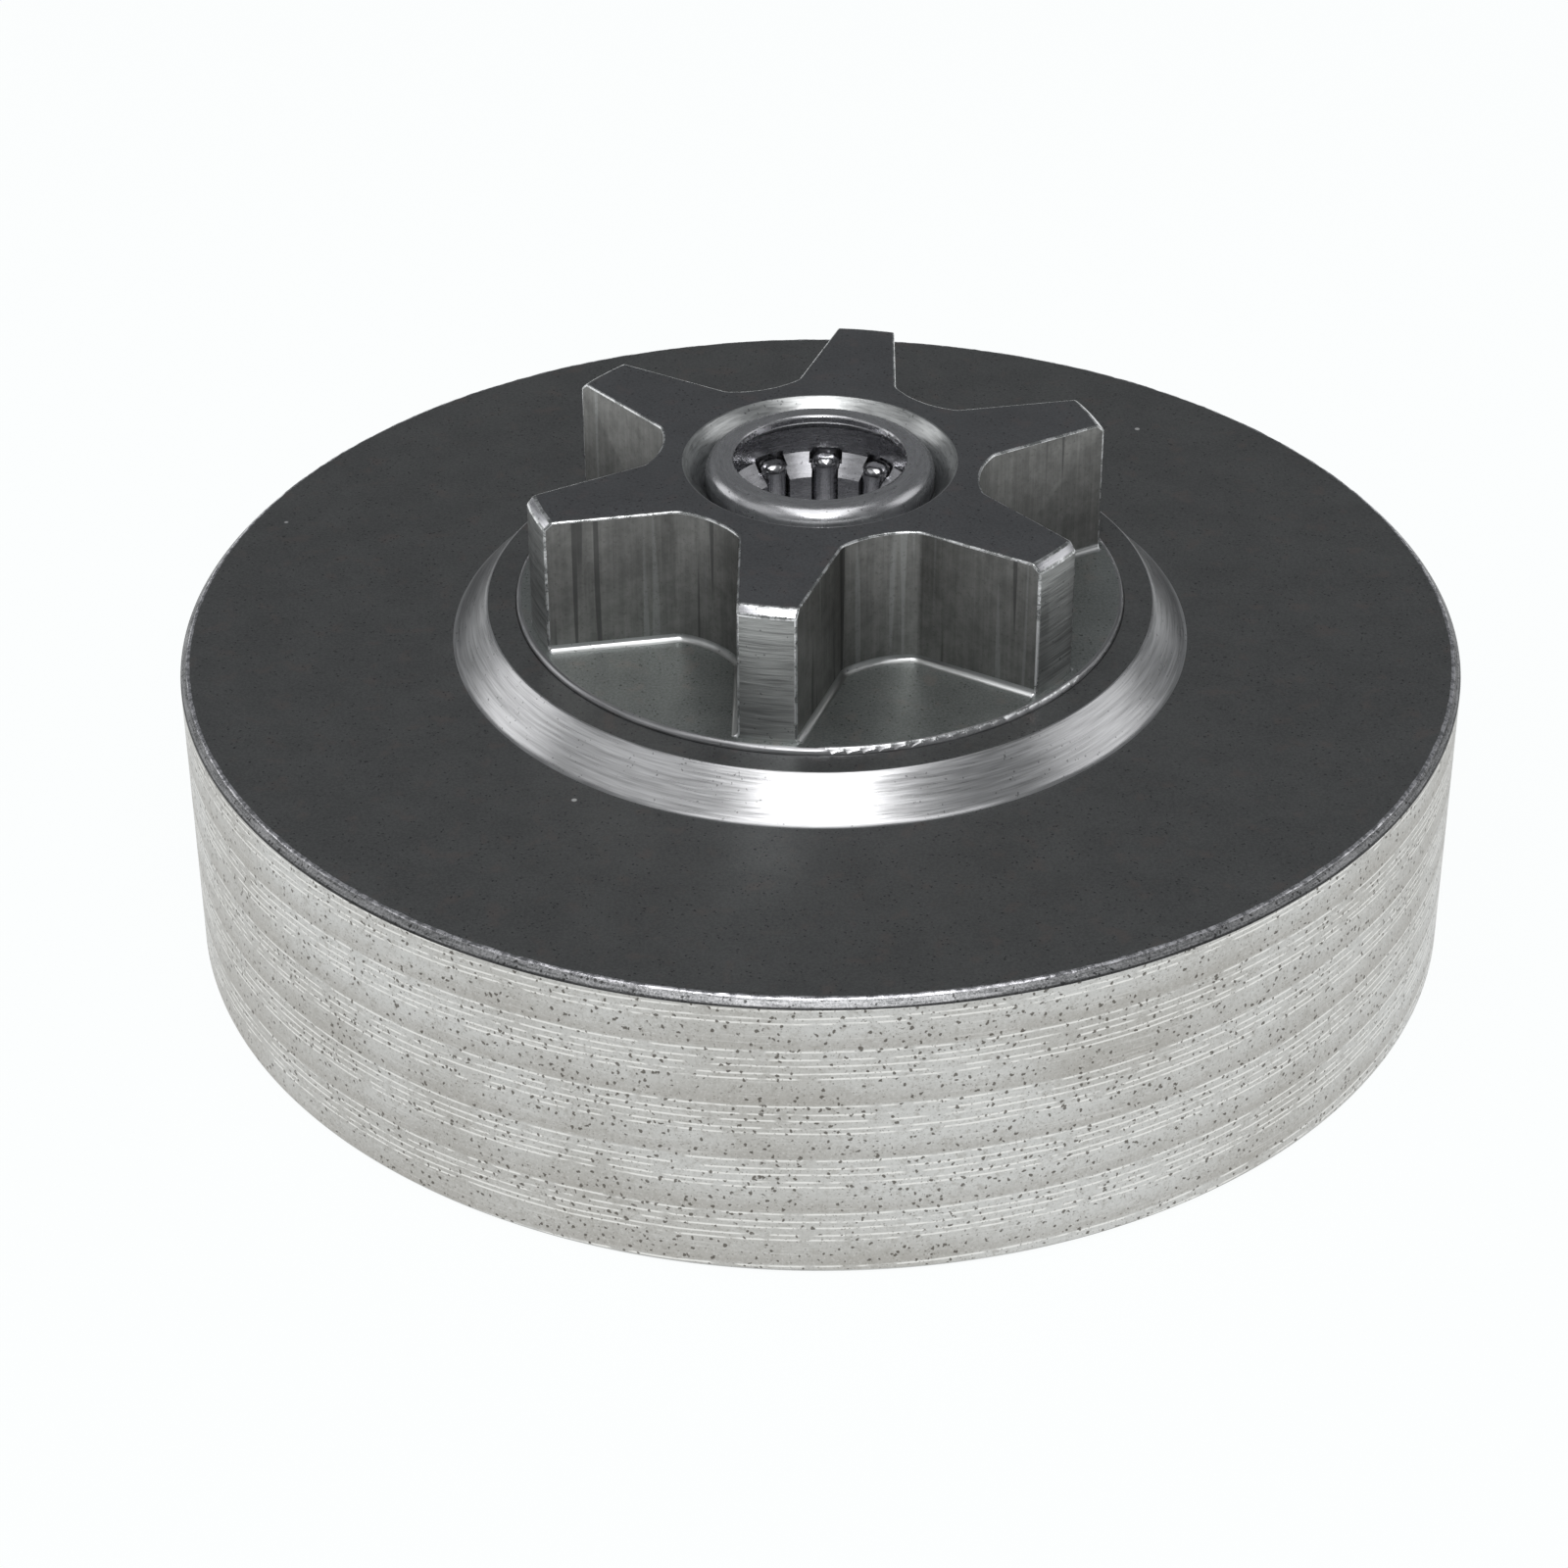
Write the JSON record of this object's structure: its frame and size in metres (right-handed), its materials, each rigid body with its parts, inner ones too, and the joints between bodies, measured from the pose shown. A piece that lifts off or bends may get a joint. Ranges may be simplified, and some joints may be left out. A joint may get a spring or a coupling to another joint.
{
  "type": "clutch drum sprocket",
  "caption": "Chain saw clutch drum with a spur sprocket on its closed side and a drawn-cup needle bearing in the sprocket's bore.",
  "frame": {"origin": "centre of the drum's open rim, in the plane that the drum stands on", "axes": "+Z along the drum's axis towards the sprocket; -Y towards the picture's camera"},
  "size_m": [0.068, 0.068, 0.0267],
  "materials": {
    "drum_steel": "sintered steel, dark web, turned wall and cone",
    "sprocket_steel": "sintered steel, tooth tips turned",
    "cup_steel": "smooth drawn steel",
    "cage_steel": "pressed strip",
    "needle_steel": "ground and polished"
  },
  "bodies": {
    "drum": {"clutch_drum": "drum_steel", "spur_sprocket": "sprocket_steel", "bearing_shell": "cup_steel"},
    "cage": {"needle_cage": "cage_steel"},
    "needle_01": {"needle_roller_01": "needle_steel"},
    "needle_02": {"needle_roller_02": "needle_steel"},
    "needle_03": {"needle_roller_03": "needle_steel"},
    "needle_04": {"needle_roller_04": "needle_steel"},
    "needle_05": {"needle_roller_05": "needle_steel"},
    "needle_06": {"needle_roller_06": "needle_steel"},
    "needle_07": {"needle_roller_07": "needle_steel"},
    "needle_08": {"needle_roller_08": "needle_steel"},
    "needle_09": {"needle_roller_09": "needle_steel"},
    "needle_10": {"needle_roller_10": "needle_steel"}
  },
  "joints": [
    {"name": "cage_spin", "type": "hinge", "parent": "drum", "child": "cage", "pos_m": [0, 0, 0.02065], "axis": [0, 0, 1], "continuous": true},
    {"name": "needle_01_spin", "type": "hinge", "parent": "cage", "child": "needle_01", "pos_m": [0.0003, 0.00474, 0.02065], "axis": [0, 0, 1], "continuous": true},
    {"name": "needle_02_spin", "type": "hinge", "parent": "cage", "child": "needle_02", "pos_m": [-0.00255, 0.00401, 0.02065], "axis": [0, 0, 1], "continuous": true},
    {"name": "needle_03_spin", "type": "hinge", "parent": "cage", "child": "needle_03", "pos_m": [-0.00442, 0.00175, 0.02065], "axis": [0, 0, 1], "continuous": true},
    {"name": "needle_04_spin", "type": "hinge", "parent": "cage", "child": "needle_04", "pos_m": [-0.0046, -0.00118, 0.02065], "axis": [0, 0, 1], "continuous": true},
    {"name": "needle_05_spin", "type": "hinge", "parent": "cage", "child": "needle_05", "pos_m": [-0.00303, -0.00366, 0.02065], "axis": [0, 0, 1], "continuous": true},
    {"name": "needle_06_spin", "type": "hinge", "parent": "cage", "child": "needle_06", "pos_m": [-0.0003, -0.00474, 0.02065], "axis": [0, 0, 1], "continuous": true},
    {"name": "needle_07_spin", "type": "hinge", "parent": "cage", "child": "needle_07", "pos_m": [0.00255, -0.00401, 0.02065], "axis": [0, 0, 1], "continuous": true},
    {"name": "needle_08_spin", "type": "hinge", "parent": "cage", "child": "needle_08", "pos_m": [0.00442, -0.00175, 0.02065], "axis": [0, 0, 1], "continuous": true},
    {"name": "needle_09_spin", "type": "hinge", "parent": "cage", "child": "needle_09", "pos_m": [0.0046, 0.00118, 0.02065], "axis": [0, 0, 1], "continuous": true},
    {"name": "needle_10_spin", "type": "hinge", "parent": "cage", "child": "needle_10", "pos_m": [0.00303, 0.00366, 0.02065], "axis": [0, 0, 1], "continuous": true}
  ],
  "couplings": [
    {"joint": "needle_01_spin", "follows": "cage_spin", "ratio": -7.3333},
    {"joint": "needle_02_spin", "follows": "cage_spin", "ratio": -7.3333},
    {"joint": "needle_03_spin", "follows": "cage_spin", "ratio": -7.3333},
    {"joint": "needle_04_spin", "follows": "cage_spin", "ratio": -7.3333},
    {"joint": "needle_05_spin", "follows": "cage_spin", "ratio": -7.3333},
    {"joint": "needle_06_spin", "follows": "cage_spin", "ratio": -7.3333},
    {"joint": "needle_07_spin", "follows": "cage_spin", "ratio": -7.3333},
    {"joint": "needle_08_spin", "follows": "cage_spin", "ratio": -7.3333},
    {"joint": "needle_09_spin", "follows": "cage_spin", "ratio": -7.3333},
    {"joint": "needle_10_spin", "follows": "cage_spin", "ratio": -7.3333}
  ]
}
